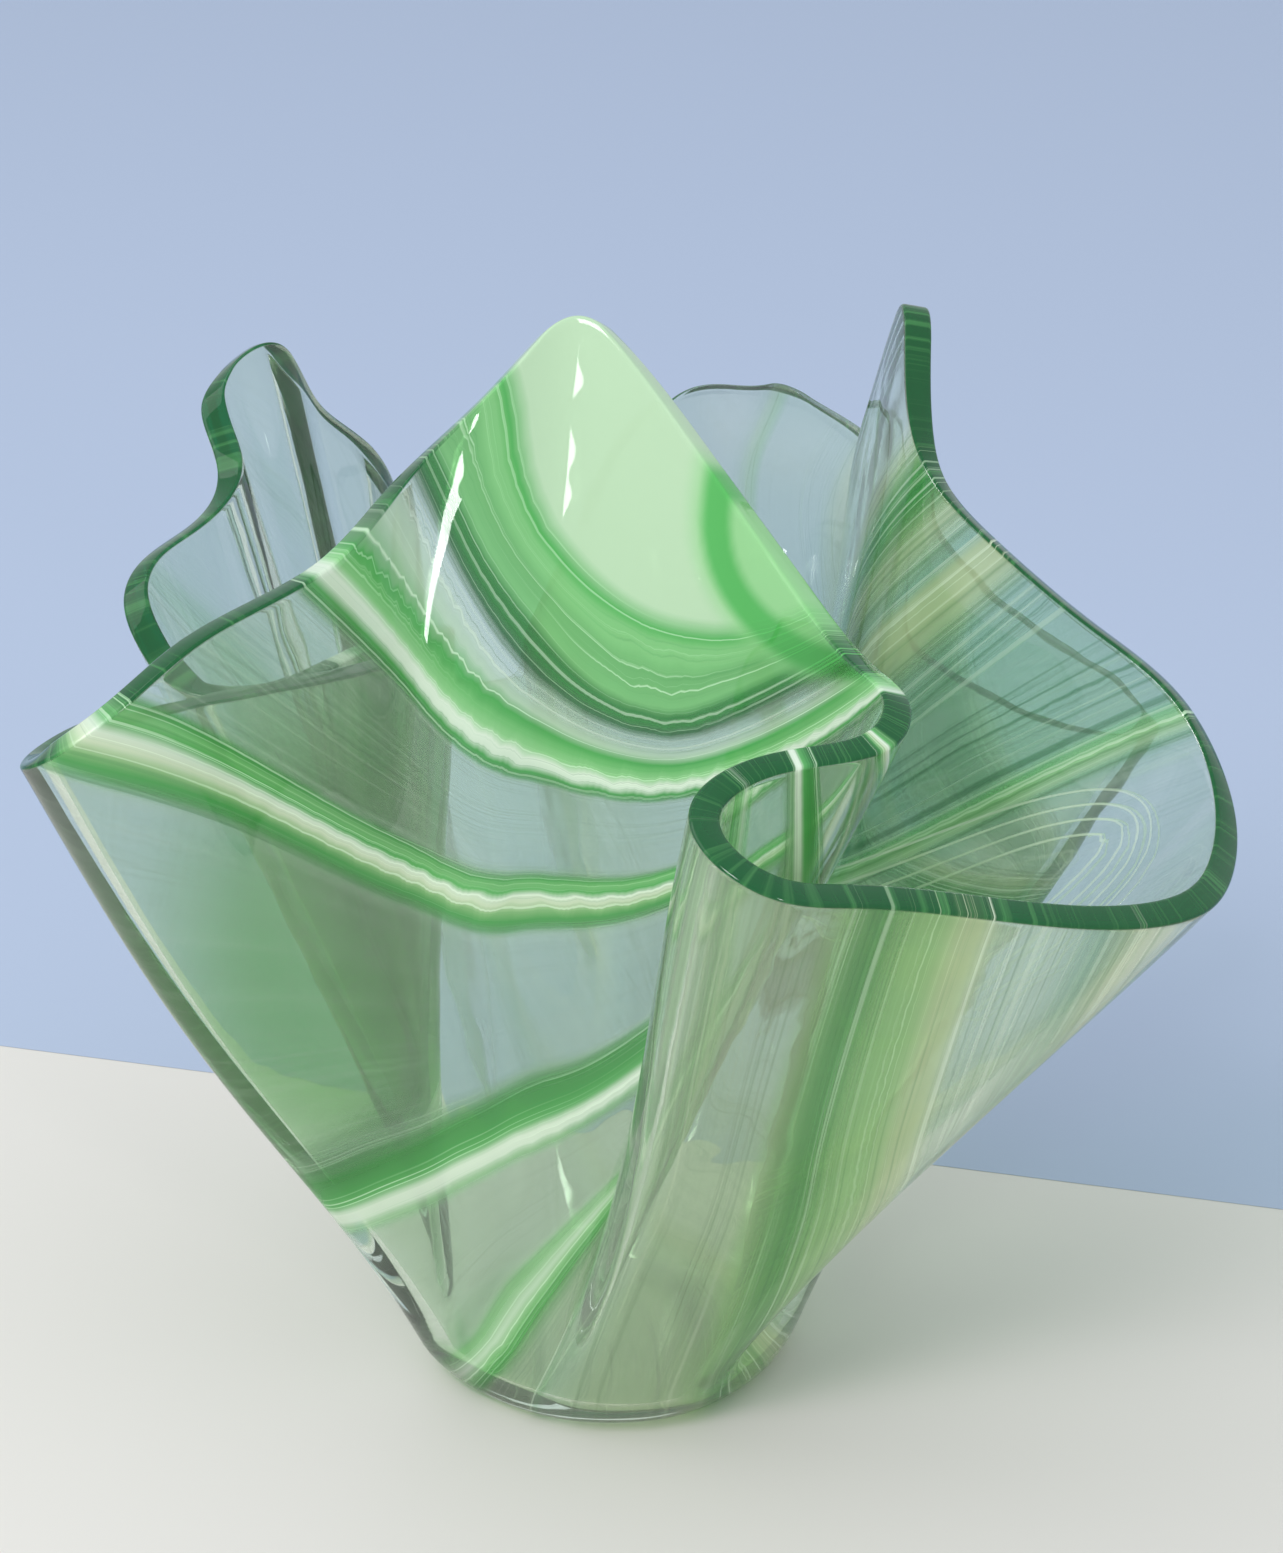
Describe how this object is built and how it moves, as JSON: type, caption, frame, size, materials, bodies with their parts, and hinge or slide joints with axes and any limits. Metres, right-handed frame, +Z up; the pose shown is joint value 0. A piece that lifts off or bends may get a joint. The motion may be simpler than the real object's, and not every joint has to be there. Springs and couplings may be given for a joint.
{
  "type": "handkerchief vase",
  "caption": "Free-standing glass vase slumped from one square sheet, with four upswept corners, deep rolling folds between them and a small round flat foot.",
  "frame": {"origin": "centre of the flat underside of the foot, on the surface that it stands on", "axes": "+Z up out of the foot; -Y towards the front, with the tall broad panel and the folded lobe in front of it; +X to the right seen from the front"},
  "size_m": [0.1346, 0.1399, 0.1246],
  "materials": {
    "streaky_glass": "glossy, see-through green with cloudy white and green streaks"
  },
  "bodies": {
    "root": {"glass_sheet": "streaky_glass"}
  },
  "joints": []
}
